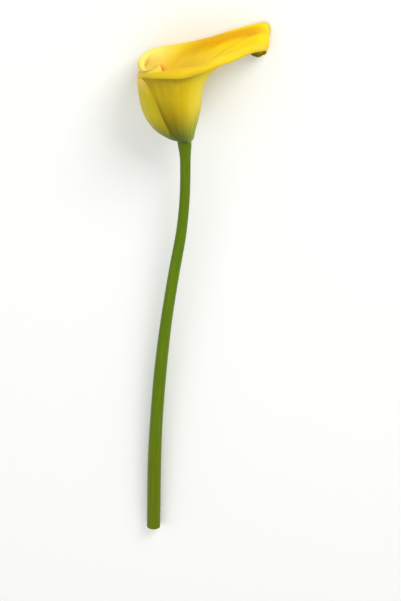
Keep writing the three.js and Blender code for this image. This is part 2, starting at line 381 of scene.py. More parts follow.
@dataclass(frozen=True)
class Cheek:
    """The place where the sheet swells out to the left, under the rim on its closed side."""

    side: float = -0.64
    side_width: float = 0.13
    height: float = 34.2
    height_width: float = 3.8
    swell: float = 2.6

    def out(self, share: Array, height: Array) -> Array:
        """Measures the swelling.

        Args:
            share: each point's share of the way to its edge.
            height: its height.

        Returns:
            How far each point moves to the left.
        """
        beside = ((share - self.side) / self.side_width) ** 2
        above = ((height - self.height) / self.height_width) ** 2
        return self.swell * np.exp(-beside - above)


@dataclass(frozen=True)
class Wave:
    """An even wave: how high it stands, how fast it turns and where it starts."""

    height: float
    pace: float
    start: float = 0.0

    def at(self, place: Array) -> Array:
        """Gives its height at each place."""
        return self.height * np.sin(place * self.pace + self.start)


@dataclass(frozen=True)
class Relief:
    """What stands off the smooth sheet: the limb's groove, ribs, broad swells and an uneven margin.

    The pairs named climb, rim and edge say over what stretch each of them comes or goes.
    """

    groove_depth: float = 0.5
    groove_width: float = 0.085
    groove_side: float = -0.1
    groove_climb: Pair = (14.0, 34.0)
    groove_rim: Pair = (0.0, 6.0)
    rib_height: float = 0.07
    rib_pace: float = 57.0
    rib_wander: Wave = Wave(0.6, 1 / 9)
    rib_climb: Pair = (1.0, 12.0)
    rib_rim: Pair = (1.0, 10.0)
    swell_height: float = 0.22
    swell_pace: Pair = (9.0, 1 / 13)  # across and up
    swell_climb: Pair = (6.0, 20.0)
    swell_rim: Pair = (2.0, 14.0)
    margin_waves: tuple[Wave, Wave] = (Wave(0.32, 17, 0.7), Wave(0.2, 31, -1.1))
    margin_rim: Pair = (0.0, 9.0)
    margin_edge: Pair = (0.02, 0.12)

    def height(self, share: Array, climb: Array, rim: Array) -> Array:
        """Measures the relief.

        Args:
            share: each column's share of the way to its edge, negative on the far side.
            climb: the distance of each point from the foot.
            rim: the distance of each point from the margin above it.

        Returns:
            How far each point stands off the smooth sheet.
        """
        groove = self.groove_depth * np.exp(-(((share - self.groove_side) / self.groove_width) ** 2))
        groove = groove * smoothstep(climb, *self.groove_climb) * smoothstep(rim, *self.groove_rim)
        ribs = self.rib_height * np.sin(share * self.rib_pace + self.rib_wander.at(climb))
        ribs = ribs * smoothstep(climb, *self.rib_climb) * smoothstep(rim, *self.rib_rim)
        swells = self.swell_height * np.sin(share * self.swell_pace[0] + climb * self.swell_pace[1])
        swells = swells * smoothstep(climb, *self.swell_climb) * smoothstep(rim, *self.swell_rim)
        margin = sum(wave.at(share) for wave in self.margin_waves)
        margin = margin * (1 - smoothstep(rim, *self.margin_rim))
        margin = margin * smoothstep(1 - np.abs(share), *self.margin_edge)
        return groove + ribs + swells + margin


@dataclass
class SheetPlan:
    """The spathe's middle surface as a grid, with the marks that its finish reads at each point."""

    points: Array
    marks: dict[str, Array]


@dataclass
class Spathe:
    """The rolled leaf-like sheet of the flower, with its long curled limb."""

    columns_per_side: int = 140
    funnel_rows: int = 40
    flare_rows: int = 52
    lip_rows: int = 18
    thickness: float = 0.85
    margin_share: float = 0.5  # the margin's thickness as a share of the sheet's
    margin_width: float = 9.0
    upper_share: float = 0.86  # the same for the sheet far from its foot
    upper_climb: Pair = (12.0, 50.0)
    least_flesh: float = 0.3  # how much of the thickness is left where a share is nothing
    margin_round: float = 0.16
    margin_segments: int = 2
    margin_angle: float = math.radians(62)
    rim_follow: float = 0.55  # how closely the columns keep to the rim's azimuths
    mouth_height: float = 42.0
    limb: Limb = Limb()
    funnel: Funnel = Funnel()
    flare: Flare = Flare()
    cheek: Cheek = Cheek()
    relief: Relief = Relief()

    def rim_azimuths(self, samples: CrestSamples, side: Side) -> Array:
        """Measures each crest sample's azimuth round the mouth.

        Args:
            samples: one side's crest, from the tip outwards.
            side: the side, which says which way the azimuths count.

        Returns:
            Degrees from the limb's azimuth, growing away from the tip.
        """
        mouth = self.limb.level() * -self.funnel.top[1] + UP * self.mouth_height
        offset = samples.place - mouth
        raw = np.degrees(np.arctan2(-offset[:, 1], offset[:, 0])) - self.limb.azimuth
        raw[0] = (raw[0] + 180) % 360 - 180  # the tip's, from which the others are counted on
        turned = np.unwrap(raw, period=360)
        return np.maximum(turned * side.value, 0) * side.value

    def tube_rows(self, azimuth: Array, outer: Array, inner: Array, edge: float) -> Array:
        """Shapes the funnel.

        Args:
            azimuth: each column's azimuth at the rim.
            outer: each column's share of the way to the outer edge.
            inner: each column's share of the way to the inner edge.
            edge: the azimuth of this side's edge at the rim.

        Returns:
            Points by column and row, from the foot up.
        """
        funnel = self.funnel
        height, lean, radius = funnel.profile(self.funnel_rows).T
        foot, top, bend = funnel.outer_edge
        outer_edge = lerp(foot, top, (np.maximum(height, 0) / funnel.top[0]) ** bend)
        inner_edge = outer_edge - lerp(*funnel.overlap, smoothstep(height, *funnel.overlap_rise)) - 360
        turn = np.outer(outer**2, outer_edge - edge) + np.outer(inner**2, inner_edge - edge)
        lap = funnel.outer_lap * outer**3 - funnel.inner_lap * inner**3
        reach = radius + np.outer(lap, smoothstep(height, *funnel.lap_rise))
        points = direction(azimuth[:, None] + turn) * reach[..., None]
        return points - lean[:, None] * self.limb.level() + height[:, None] * UP

    def side_points(self, side: Side) -> tuple[Array, Array]:
        """Shapes one side of the sheet, before the limb is curled.

        Args:
            side: which side of the limb's tip.

        Returns:
            Points by column and row, with the columns from the inner edge through the tip to the outer
            edge, and each column's share of the way to its edge, negative on the far side.
        """
        count = self.columns_per_side
        found = Crest(self.limb).samples(side, count)
        order = slice(None, None, side.value)
        samples = CrestSamples(found.place[order], found.tangent[order], found.lip[order])
        around = self.rim_azimuths(samples, side)
        fan = np.linspace(0, around[-1], count + 1)
        offset = lerp(fan, around, self.rim_follow)
        share = offset / around[-1]
        edge = self.limb.azimuth + around[-1]
        outer, inner = (share, share * 0) if side is Side.NEAR else (share * 0, share)
        tube = self.tube_rows(self.limb.azimuth + offset, outer, inner, edge)
        points = np.concatenate([tube, self.flare_rows_above(tube, samples, inner)], axis=1)
        return points[order], share[order] * side.value

    def flare_rows_above(self, tube: Array, samples: CrestSamples, inner: Array) -> Array:
        """Carries each column on from the funnel to the crest and over the lip.

        Args:
            tube: the funnel's points by column and row.
            samples: the crest where each column ends.
            inner: each column's share of the way to the inner edge.

        Returns:
            The rows above the funnel's last one.
        """
        flare, start = self.flare, tube[:, -1]
        climb = unit(start - tube[:, -2])
        along = self.limb.own(samples.place)[:, :1]
        level = unit(lerp(UP, self.limb.axes()[2], smoothstep(along, *flare.limb_tilt)))
        outward = unit(np.cross(level, samples.tangent))
        ahead = samples.place - start
        reach = np.linalg.norm(ahead, axis=1, keepdims=True)
        ahead = unit(ahead - level * (ahead * level).sum(axis=1, keepdims=True))
        long = smoothstep(reach, *flare.reach)
        square = flare.squareness * (1 - long) * (1 - smoothstep(inner[:, None], *flare.inner_edge))
        arrive = unit(outward * square + ahead * lerp(*flare.aheadness, long))
        arrive = arrive * reach * lerp(*flare.arrive_pull, long)
        leave = climb * reach * lerp(*flare.leave_pull, long)
        s = 1 - (1 - np.arange(1, self.flare_rows + 1) / self.flare_rows) ** flare.ease
        s = s[None, :, None]
        rise = (
            (2 * s**3 - 3 * s**2 + 1) * start[:, None]
            + (s**3 - 2 * s**2 + s) * leave[:, None]
            + (3 * s**2 - 2 * s**3) * samples.place[:, None]
            + (s**3 - s**2) * arrive[:, None]
        )
        lip = samples.lip[:, None]
        rolled = np.maximum(smoothstep(lip, flare.plain_lip, flare.full_lip), flare.least_roll)
        roll = flare.lip_turn * rolled
        turn = roll * np.arange(1, self.lip_rows + 1) / self.lip_rows
        radius = (lip / roll)[..., None]
        over = (
            samples.place[:, None]
            + outward[:, None] * radius * np.sin(turn)[..., None]
            + level[:, None] * radius * (np.cos(turn) - 1)[..., None]
        )
        return np.concatenate([rise, over], axis=1)

    def plan(self) -> SheetPlan:
        """Shapes the whole middle surface, from the outer edge through the limb's tip to the inner edge.

        Returns:
            The upright grid, with its marks: climb, rim, edge and tip are distances in millimetres from
            the foot, the rim, the nearer overlapping edge and the limb's tip, and side is the share of the
            way to the outer edge, or less than 0 towards the inner one.
        """
        near, near_share = self.side_points(Side.NEAR)
        far, far_share = self.side_points(Side.FAR)
        flat = np.concatenate([far[:-1], near])[::-1]
        share = np.concatenate([far_share[:-1], near_share])[::-1]
        flat = flat - np.array([1.0, 0, 0]) * self.cheek.out(share[:, None], flat[..., 2])[..., None]
        climb = self.walked(flat, axis=1)
        rim = climb[:, -1:] - climb
        across = self.walked(flat, axis=0)
        edges = np.minimum(across, across[-1:] - across)
        tip = self.limb.length - self.limb.own(flat)[..., 0]
        normal = unit(np.cross(np.gradient(flat, axis=0), np.gradient(flat, axis=1)))
        flat = flat + normal * self.relief.height(share[:, None], climb, rim)[..., None]
        points = self.limb.curl(flat)
        side = np.repeat(share[:, None], points.shape[1], axis=1)
        return SheetPlan(points, {"climb": climb, "rim": rim, "edge": edges, "tip": tip, "side": side})

    @staticmethod
    def walked(grid: Array, axis: int) -> Array:
        """Adds up the distance walked over the grid.

        Args:
            grid: the sheet's points.
            axis: 0 to walk across the columns, 1 to walk up them.

        Returns:
            The distance from the first column or row to each point.
        """
        steps = np.linalg.norm(np.diff(grid, axis=axis), axis=-1)
        first = np.zeros_like(np.take(steps, [0], axis=axis))
        return np.concatenate([first, np.cumsum(steps, axis=axis)], axis=axis)

    def build(self, outside: Material, inside: Material) -> Piece:
        """Makes the spathe.

        Args:
            outside: the finish of the sheet's outer face and of its margin.
            inside: the finish of its inner face.

        Returns:
            The finished piece.
        """
        plan = self.plan()
        columns, rows = plan.points.shape[:2]
        clear_selection()
        bpy.ops.mesh.primitive_grid_add(x_subdivisions=columns - 1, y_subdivisions=rows - 1, size=1)
        piece = bpy.context.object
        piece.name = piece.data.name = "spathe_sheet"
        flat = read_points(piece)
        column = np.rint((flat[:, 0] + 0.5) * (columns - 1)).astype(int)
        row = np.rint((flat[:, 1] + 0.5) * (rows - 1)).astype(int)
        write_points(piece, LIE.down(plan.points[column, row]))
        for name, values in plan.marks.items():
            write_mark(piece, name, values[column, row])
        margin = np.minimum(plan.marks["rim"], plan.marks["edge"])
        self.thicken(piece, margin[column, row], plan.marks["climb"][column, row])
        piece.data.materials.append(outside)
        piece.data.materials.append(inside)
        self.give_body(piece)
        shade_smooth(piece)
        return piece

    def thicken(self, piece: Piece, margin: Array, climb: Array) -> None:
        """Records how thick the sheet is: fleshy at the foot and thin at its margin.

        Args:
            piece: the sheet.
            margin: the distance of each point from the nearest margin.
            climb: its distance from the foot.
        """
        group = piece.vertex_groups.new(name="flesh")
        fleshy = lerp(self.margin_share, 1.0, smoothstep(margin, 0, self.margin_width))
        fleshy = fleshy * lerp(1.0, self.upper_share, smoothstep(climb, *self.upper_climb))
        for index, weight in enumerate(fleshy):
            group.add([index], float(weight), "REPLACE")

    def give_body(self, piece: Piece) -> None:
        """Gives the sheet its thickness and a round margin.

        Args:
            piece: the sheet, whose group flesh says how thick it is.
        """
        solid = piece.modifiers.new("flesh", "SOLIDIFY")
        solid.thickness = self.thickness * MM
        solid.offset = 0  # as much to one side as to the other
        solid.vertex_group = "flesh"
        solid.thickness_vertex_group = self.least_flesh
        solid.material_offset = Face.INSIDE.value
        solid.material_offset_rim = Face.OUTSIDE.value
        apply_modifier(piece, solid)
        bevel = piece.modifiers.new("round_margin", "BEVEL")
        bevel.limit_method = "ANGLE"
        bevel.angle_limit = self.margin_angle
        bevel.width = self.margin_round * MM
        bevel.segments = self.margin_segments
        bevel.use_clamp_overlap = True
        apply_modifier(piece, bevel)


# Round pieces that follow a path

AXIS_REACH = 0.5  # a straight tube's points are nearer its axis than this only where they close an end
RING_REACH = 0.00001  # how near the asked height a ring's points are


@dataclass(frozen=True)
class Rod:
    """A round tube that is bridged between two circles, closed at both ends and bent along a path."""

    name: str
    path: SmoothPath
    sides: int
    rings: int

    def straight(self) -> Piece:
        """Makes the tube straight, with a radius and a length of one, and its ends closed to a point.

        Returns:
            The tube, standing on the origin.
        """
        clear_selection()
        bpy.ops.mesh.primitive_circle_add(vertices=self.sides, radius=1, location=(0, 0, 0))
        piece = bpy.context.object
        piece.name = piece.data.name = self.name
        bpy.ops.object.mode_set(mode="EDIT")
        bpy.ops.mesh.primitive_circle_add(vertices=self.sides, radius=1, location=(0, 0, 1))
        bpy.ops.mesh.select_all(action="SELECT")
        bpy.ops.mesh.bridge_edge_loops(number_cuts=self.rings - 2)
        for height in (0.0, 1.0):
            bpy.ops.mesh.select_all(action="DESELECT")
            self.select_ring(piece, height)
            bpy.ops.mesh.extrude_region_move()
            bpy.ops.mesh.merge(type="CENTER")
        bpy.ops.mesh.select_all(action="SELECT")
        bpy.ops.mesh.normals_make_consistent(inside=False)
        bpy.ops.object.mode_set(mode="OBJECT")
        return piece

    @staticmethod
    def select_ring(piece: Piece, height: float) -> None:
        """Selects the ring of points at a height.

        Args:
            piece: the tube, in edit mode.
            height: where the ring is.
        """
        mesh = bmesh.from_edit_mesh(piece.data)
        for vert in mesh.verts:
            vert.select = math.isclose(vert.co.z, height, abs_tol=RING_REACH)
        mesh.select_flush_mode()
        bmesh.update_edit_mesh(piece.data)

    def bent(self, radius: Callable[[Array, Array], Array]) -> Piece:
        """Bends the tube along the path.

        Args:
            radius: gives each point's distance from the path, in millimetres, from its share of the
                length and its angle.

        Returns:
            The piece, with marks that say how far along it each point is and where it was on the tube.
        """
        piece = self.straight()
        flat = read_points(piece)
        share, angle = flat[:, 2], np.arctan2(flat[:, 1], flat[:, 0])
        pole = np.hypot(flat[:, 0], flat[:, 1]) < AXIS_REACH
        centre, along, _ = self.path.at(share)
        right = unit(np.array([1.0, 0, 0]) - along * along[:, :1])
        forward = np.cross(along, right)
        out = right * np.cos(angle)[:, None] + forward * np.sin(angle)[:, None]
        reach = np.where(pole, 0.0, radius(share, angle))
        write_points(piece, LIE.down(centre + out * reach[:, None]))
        walked = share * self.path.length
        write_mark(piece, "along", walked)
        write_mark(piece, "grain", np.stack([np.cos(angle) * reach, np.sin(angle) * reach, walked], axis=1))
        return piece


@dataclass
class Spadix:
    """The finger-like spike inside the spathe, covered with tiny florets."""

    points: tuple = ((0, 0, -0.4), (-2.4, -0.3, 13), (-6.4, 0, 27), (-11, 0.6, 40.5))
    foot_radius: float = 1.6
    body_radius: float = 2.35
    tip_radius: float = 1.75
    mean_radius: float = 2.2
    neck: Pair = (0.06, 0.17)  # shares of the length, as the next two are
    first_florets: Pair = (0.1, 0.16)
    dome: float = 0.045
    dome_point: float = 0.0006
    floret_pitch: float = 0.86
    floret_area: float = 0.87  # of a square with the pitch as its side
    floret_reach: float = 0.62  # of the pitch
    floret_round: float = 0.7
    floret_height: float = 0.2
    floret_sink: float = 0.4  # how much of that height lies under the smooth spike
    neighbours: int = 26
    sides: int = 120
    rings: int = 330

    def smooth_radius(self, share: Array) -> Array:
        """Shapes the spike without its florets: a short stalk, a slight taper and a round tip.

        Args:
            share: each point's share of the length.

        Returns:
            The radius there.
        """
        body = lerp(self.body_radius, self.tip_radius, share**2)
        low = lerp(self.foot_radius, body, smoothstep(share, *self.neck))
        dome = np.clip((share - 1 + self.dome) / self.dome, 0, 1)
        return low * np.sqrt(np.maximum(1 - dome**2, self.dome_point))

    def floret_rise(self, share: Array, angle: Array, length: float) -> Array:
        """Measures how high each point stands on its floret.

        Args:
            share: each point's share of the length.
            angle: each point's angle round the spike.
            length: the spike's length in millimetres.

        Returns:
            0 between florets to 1 on top of one.
        """
        radius = self.smooth_radius(share)
        step = self.floret_pitch**2 * self.floret_area / (2 * math.pi * self.mean_radius)
        golden = math.pi * (3 - math.sqrt(5))
        nearest = np.round(share * length / step)
        best = np.full(len(share), np.inf)
        for k in range(-self.neighbours, self.neighbours + 1):
            index = nearest + k
            around = (angle - index * golden + math.pi) % (2 * math.pi) - math.pi
            best = np.minimum(best, np.hypot(around * radius, share * length - index * step))
        rise = np.clip(1 - (best / (self.floret_reach * self.floret_pitch)) ** 2, 0, 1) ** self.floret_round
        return rise * smoothstep(share, *self.first_florets)

    def build(self, finish: Material) -> Piece:
        """Makes the spadix.

        Args:
            finish: the florets' finish.

        Returns:
            The finished piece.
        """
        rod = Rod("spadix_spike", SmoothPath(np.array(self.points, float)), self.sides, self.rings)
        rises: dict[str, Array] = {}

        def radius(share: Array, angle: Array) -> Array:
            """Adds the florets to the smooth spike."""
            rises["floret"] = self.floret_rise(share, angle, rod.path.length)
            return self.smooth_radius(share) + self.floret_height * (rises["floret"] - self.floret_sink)

        piece = rod.bent(radius)
        write_mark(piece, "floret", rises["floret"])
        piece.data.materials.append(finish)
        shade_smooth(piece)
        return piece


@dataclass
class Stem:
    """The fleshy round stalk, from the flower down to its cut end."""

    points: tuple = (
        (0, 0, 0.2),
        (0.4, 0, -8),
        (0.1, 0.2, -30),
        (-1.7, 0.6, -50),
        (-6, 1.2, -76),
        (-10.4, 1.4, -106),
        (-14, 1.2, -140),
        (-16.6, 0.7, -180),
        (-17.8, 0, -228),
    )
    top_radius: float = 2.6
    foot_radius: float = 3.7
    collar_radius: float = 3.5
    collar_share: float = 0.058
    collar_bend: float = 1.6
    flutes: tuple = ((0.03, 7, 5), (0.02, 13, -9))  # height, number round the stem and twist down it
    uneven: Wave = Wave(0.05, 23, 1)
    skin: float = 0.28
    skin_step: float = 0.12
    pith_ring: float = 0.9
    pith_step: float = 0.14
    end_facing: float = 0.8  # how squarely a face has to look out of the end to belong to it
    cut_slot: int = 1  # the cut end's place among the stem's finishes
    sides: int = 64
    rings: int = 300

    def radius(self, share: Array, angle: Array) -> Array:
        """Shapes the stem: a collar under the flower, a slow widening and faint flutes.

        Args:
            share: each point's share of the length.
            angle: its angle round the stem.

        Returns:
            The radius there.
        """
        body = lerp(self.top_radius, self.foot_radius, smoothstep(share, 0, 1))
        collar = (1 - smoothstep(share, 0, self.collar_share)) ** self.collar_bend
        collar = collar * (self.collar_radius - self.top_radius)
        flutes = sum(high * np.sin(angle * count + share * twist) for high, count, twist in self.flutes)
        return body + collar + flutes + self.uneven.at(share)

    def build(self, finish: Material, cut_finish: Material) -> Piece:
        """Makes the stem and dresses it.

        Args:
            finish: the skin's finish.
            cut_finish: the finish of the cut end.

        Returns:
            The finished piece.
        """
        rod = Rod("stem_stalk", SmoothPath(np.array(self.points, float)), self.sides, self.rings)
        piece = rod.bent(self.radius)
        piece.data.materials.append(finish)
        piece.data.materials.append(cut_finish)
        self.dress_cut(piece, rod)
        shade_smooth(piece)
        return piece

    def dress_cut(self, piece: Piece, rod: Rod) -> None:
        """Insets the cut end and sinks its pith a little below the skin's edge.

        Args:
            piece: the stem.
            rod: what it was bent from.
        """
        centre, along, _ = rod.path.at(np.array([1.0]))
        middle = Vector(LIE.down(centre)[0])
        outward = Vector(LIE.turn() @ along[0])
        activate(piece)
        bpy.ops.object.mode_set(mode="EDIT")
        bpy.ops.mesh.select_all(action="DESELECT")
        bpy.ops.mesh.select_mode(type="FACE")
        mesh = bmesh.from_edit_mesh(piece.data)
        for face in mesh.faces:
            near = (face.calc_center_median() - middle).length < self.foot_radius * MM
            face.select = near and face.normal.dot(outward) > self.end_facing
            if face.select:
                face.material_index = self.cut_slot
        bmesh.update_edit_mesh(piece.data)
        for width, step in ((self.skin, self.skin_step), (self.pith_ring, self.pith_step)):
            bpy.ops.mesh.inset(thickness=width * MM, depth=0)
            bpy.ops.transform.translate(value=tuple(outward * -step * MM))
        bpy.ops.mesh.select_mode(type="VERT")
        bpy.ops.object.mode_set(mode="OBJECT")


# Mesh work that every piece shares


def clear_selection() -> None:
    """Leaves nothing selected or in edit mode."""
    if bpy.context.object and bpy.context.object.mode != "OBJECT":
        bpy.ops.object.mode_set(mode="OBJECT")
    bpy.ops.object.select_all(action="DESELECT")


def activate(piece: Piece) -> None:
    """Makes one piece the only one selected.

    Args:
        piece: the piece to work on.
    """
    clear_selection()
    piece.select_set(True)
    bpy.context.view_layer.objects.active = piece


def read_points(piece: Piece) -> Array:
    """Reads where a piece's points are.

    Args:
        piece: the piece, out of edit mode.

    Returns:
        One row for each point.
    """
    flat = np.empty(len(piece.data.vertices) * 3)
    piece.data.vertices.foreach_get("co", flat)
    return flat.reshape(-1, 3)


def write_points(piece: Piece, points: Array) -> None:
    """Moves a piece's points."""
    piece.data.vertices.foreach_set("co", np.ascontiguousarray(points, dtype=np.float32).ravel())
    piece.data.update()


def write_mark(piece: Piece, name: str, values: Array) -> None:
    """Keeps a number or a vector at each point for the finish to read.

    Args:
        piece: the piece.
        name: what the finish calls it.
        values: one number or one row for each point.
    """
    kind, key = ("FLOAT", "value") if values.ndim == 1 else ("FLOAT_VECTOR", "vector")
    mark = piece.data.attributes.new(name, kind, "POINT")
    mark.data.foreach_set(key, np.ascontiguousarray(values, dtype=np.float32).ravel())


def apply_modifier(piece: Piece, modifier: bpy.types.Modifier) -> None:
    """Applies one modifier of a piece."""
    activate(piece)
    bpy.ops.object.modifier_apply(modifier=modifier.name)


def settle(piece: Piece) -> None:
    """Presses whatever dips under the table flat against it.

    Args:
        piece: the finished piece.
    """
    points = read_points(piece)
    points[:, 2] = np.maximum(points[:, 2], 0.0)
    write_points(piece, points)


def shade_smooth(piece: Piece, angle: float = 50) -> None:
    """Shades a piece smooth, but for edges sharper than the angle."""
    activate(piece)
    bpy.ops.object.shade_smooth_by_angle(angle=math.radians(angle))


# Finishes


class Source(Enum):
    """What a pattern follows: the place on the object, the piece's own map or the tube before its bend."""

    PLACE = "Object"
    MAP = "UV"
    TUBE = "grain"


class Pattern(Enum):
    """The kinds of pattern."""

    CLOUDS = "ShaderNodeTexNoise"
    CELLS = "ShaderNodeTexVoronoi"


@dataclass(frozen=True)
class Grain:
    """A pattern under a name of its own."""

    name: str
    scale: float = 1.0
    detail: float = 3.0
    roughness: float = 0.5
    stretch: Triple | None = None
    source: Source = Source.PLACE
    pattern: Pattern = Pattern.CLOUDS


@dataclass(frozen=True)
class Fade:
    """An eased change from start to end as a mark or pattern goes from low to high."""

    mark: str
    low: float
    high: float
    start: float = 0.0
    end: float = 1.0


@dataclass(frozen=True)
class Mix:
    """Two colours, and the fades that lead from the first to the second."""

    first: str
    second: str
    fades: tuple[Fade, ...]


@dataclass(frozen=True)
class Patch:
    """A colour laid over part of a surface, and the fades that together say where."""

    colour: str | Mix
    fades: tuple[Fade, ...]


@dataclass(frozen=True)
class Bump:
    """A pattern that stands off the surface, and its height in metres."""

    pattern: str
    height: float


@dataclass(frozen=True)
class Flesh:
    """How light goes in under the surface: its share, how far each colour goes, and how deep in metres."""

    share: float
    colours: Triple
    depth: float


# A colour mix node's sockets, several of which share a name
MIX_SHARE, MIX_START, MIX_END, MIX_RESULT = 0, 6, 7, 2


def tint(code: str) -> tuple[float, float, float, float]:
    """Turns a colour written as six hexadecimal digits into the linear colour that a shader takes."""
    channels = [int(code[k : k + 2], 16) / 255 for k in (0, 2, 4)]
    return (*(c / 12.92 if c <= 0.04045 else ((c + 0.055) / 1.055) ** 2.4 for c in channels), 1.0)


class NodeSheet:
    """The shader nodes of one material, with short ways to place and join them."""

    def __init__(self, name: str) -> None:
        """Starts a material with a principled shader and its output.

        Args:
            name: the material's name.
        """
        self.patterns: dict[str, Socket] = {}
        self.material = bpy.data.materials.new(name)
        self.material.use_nodes = True
        self.tree = self.material.node_tree
        self.tree.nodes.clear()
        output = self.add("ShaderNodeOutputMaterial")
        self.shader = self.add("ShaderNodeBsdfPrincipled")
        self.feed(output.inputs["Surface"], self.shader.outputs["BSDF"])

    def add(self, kind: str, **settings: str) -> bpy.types.Node:
        """Adds a node.

        Args:
            kind: the node's type.
            **settings: its settings by name.

        Returns:
            The node.
        """
        node = self.tree.nodes.new(kind)
        for name, value in settings.items():
            setattr(node, name, value)
        return node

    def feed(self, target: Socket, value: Socket | str | float | tuple) -> None:
        """Joins a socket to another, or sets it.

        Args:
            target: the socket to feed.
            value: another socket, a colour code, a number or several.
        """
        if isinstance(value, Socket):
            self.tree.links.new(value, target)
        else:
            target.default_value = tint(value) if isinstance(value, str) else value

    def dress(self, **values: Socket | str | float | tuple) -> None:
        """Feeds the shader's own sockets, written with underscores for spaces."""
        for name, value in values.items():
            self.feed(self.shader.inputs[name.replace("_", " ")], value)

    def read(self, name: str) -> Socket:
        """Finds a pattern, or else a number that the piece keeps at its points.

        Args:
            name: the pattern's or the number's name.

        Returns:
            Its socket.
        """
        if name not in self.patterns:
            self.patterns[name] = self.add("ShaderNodeAttribute", attribute_name=name).outputs["Fac"]
        return self.patterns[name]

    def coordinates(self, source: Source) -> Socket:
        """Reads what a pattern follows.

        Args:
            source: what that is.

        Returns:
            Its vector.
        """
        if source is Source.TUBE:
            return self.add("ShaderNodeAttribute", attribute_name=source.value).outputs["Vector"]
        return self.add("ShaderNodeTexCoord").outputs[source.value]

    def weave(self, grain: Grain) -> None:
        """Makes a pattern and keeps it under its name.

        Args:
            grain: the pattern.
        """
        follows = self.coordinates(grain.source)
        if grain.stretch:
            mapping = self.add("ShaderNodeMapping")
            self.feed(mapping.inputs["Vector"], follows)
            self.feed(mapping.inputs["Scale"], grain.stretch)
            follows = mapping.outputs["Vector"]
        node = self.add(grain.pattern.value)
        self.feed(node.inputs["Vector"], follows)
        self.feed(node.inputs["Scale"], grain.scale)
        if grain.pattern is Pattern.CLOUDS:
            self.feed(node.inputs["Detail"], grain.detail)
            self.feed(node.inputs["Roughness"], grain.roughness)
        self.patterns[grain.name] = node.outputs[0]

    def weigh(self, name: str, start: float, **parts: float) -> None:
        """Adds up patterns and keeps the sum under a name.

        Args:
            name: the sum's name.
            start: what it starts from.
            **parts: how many times each pattern or number goes in.
        """
        total: Socket | float = start
        for part, weight in parts.items():
            node = self.add("ShaderNodeMath", operation="MULTIPLY_ADD")
            for socket, value in zip(node.inputs, (self.read(part), weight, total)):
                self.feed(socket, value)
            total = node.outputs[0]
        self.patterns[name] = total

    def fade(self, *fades: Fade) -> Socket:
        """Multiplies fades together.

        Args:
            *fades: the fades.

        Returns:
            Their product.
        """
        shares = []
        for fade in fades:
            node = self.add("ShaderNodeMapRange", interpolation_type="SMOOTHSTEP")
            self.feed(node.inputs["Value"], self.read(fade.mark))
            limits = {"From Min": fade.low, "From Max": fade.high, "To Min": fade.start, "To Max": fade.end}
            for name, number in limits.items():
                self.feed(node.inputs[name], number)
            shares.append(node.outputs["Result"])
        together = shares[0]
        for share in shares[1:]:
            node = self.add("ShaderNodeMath", operation="MULTIPLY")
            self.feed(node.inputs[0], together)
            self.feed(node.inputs[1], share)
            together = node.outputs[0]
        return together

    def blend(self, start: Socket | str, end: Socket | str, fades: tuple[Fade, ...]) -> Socket:
        """Leads from one colour to another.

        Args:
            start: the colour where the fades are 0.
            end: the colour where they are 1.
            fades: the fades.

        Returns:
            The blended colour.
        """
        node = self.add("ShaderNodeMix", data_type="RGBA")
        for socket, value in ((MIX_SHARE, self.fade(*fades)), (MIX_START, start), (MIX_END, end)):
            self.feed(node.inputs[socket], value)
        return node.outputs[MIX_RESULT]

    def lay(self, under: Socket | str, patch: Patch) -> Socket:
        """Lays a patch.

        Args:
            under: the colour that it goes over.
            patch: the patch.

        Returns:
            The colour with the patch on it.
        """
        over = patch.colour
        if isinstance(over, Mix):
            over = self.blend(over.first, over.second, over.fades)
        return self.blend(under, over, patch.fades)

    def raise_by(self, bumps: tuple[Bump, ...]) -> None:
        """Stacks bumps on the surface.

        Args:
            bumps: the bumps, from the lowest.
        """
        stacked = []
        for bump in bumps:
            node = self.add("ShaderNodeBump")
            self.feed(node.inputs["Distance"], bump.height)
            self.feed(node.inputs["Strength"], 1.0)
            self.feed(node.inputs["Height"], self.read(bump.pattern))
            if stacked:
                self.feed(node.inputs["Normal"], stacked[-1])
            stacked.append(node.outputs["Normal"])
        self.dress(Normal=stacked[-1])


@dataclass(frozen=True)
class Finish:
    """A living surface: a ground colour with patches over it, soft flesh under it, and fine bumps."""

    name: str
    ground: str
    patches: tuple[Patch, ...]
    grains: tuple[Grain, ...]
    bumps: tuple[Bump, ...]
    flesh: Flesh
    roughness: Fade | float
    specular: float

    def prepare(self, sheet: NodeSheet) -> None:
        """Makes every pattern."""
        for grain in self.grains:
            sheet.weave(grain)

    def make(self) -> Material:
        """Builds the material.

        Returns:
            The material.
        """
        sheet = NodeSheet(self.name)
        self.prepare(sheet)
        colour: Socket | str = self.ground
        for patch in self.patches:
            colour = sheet.lay(colour, patch)
        rough = sheet.fade(self.roughness) if isinstance(self.roughness, Fade) else self.roughness
        sheet.dress(Base_Color=colour, Roughness=rough, Specular_IOR_Level=self.specular)
        sheet.dress(Subsurface_Weight=self.flesh.share, Subsurface_Scale=self.flesh.depth)
        sheet.dress(Subsurface_Radius=self.flesh.colours)
        sheet.raise_by(self.bumps)
        return sheet.material


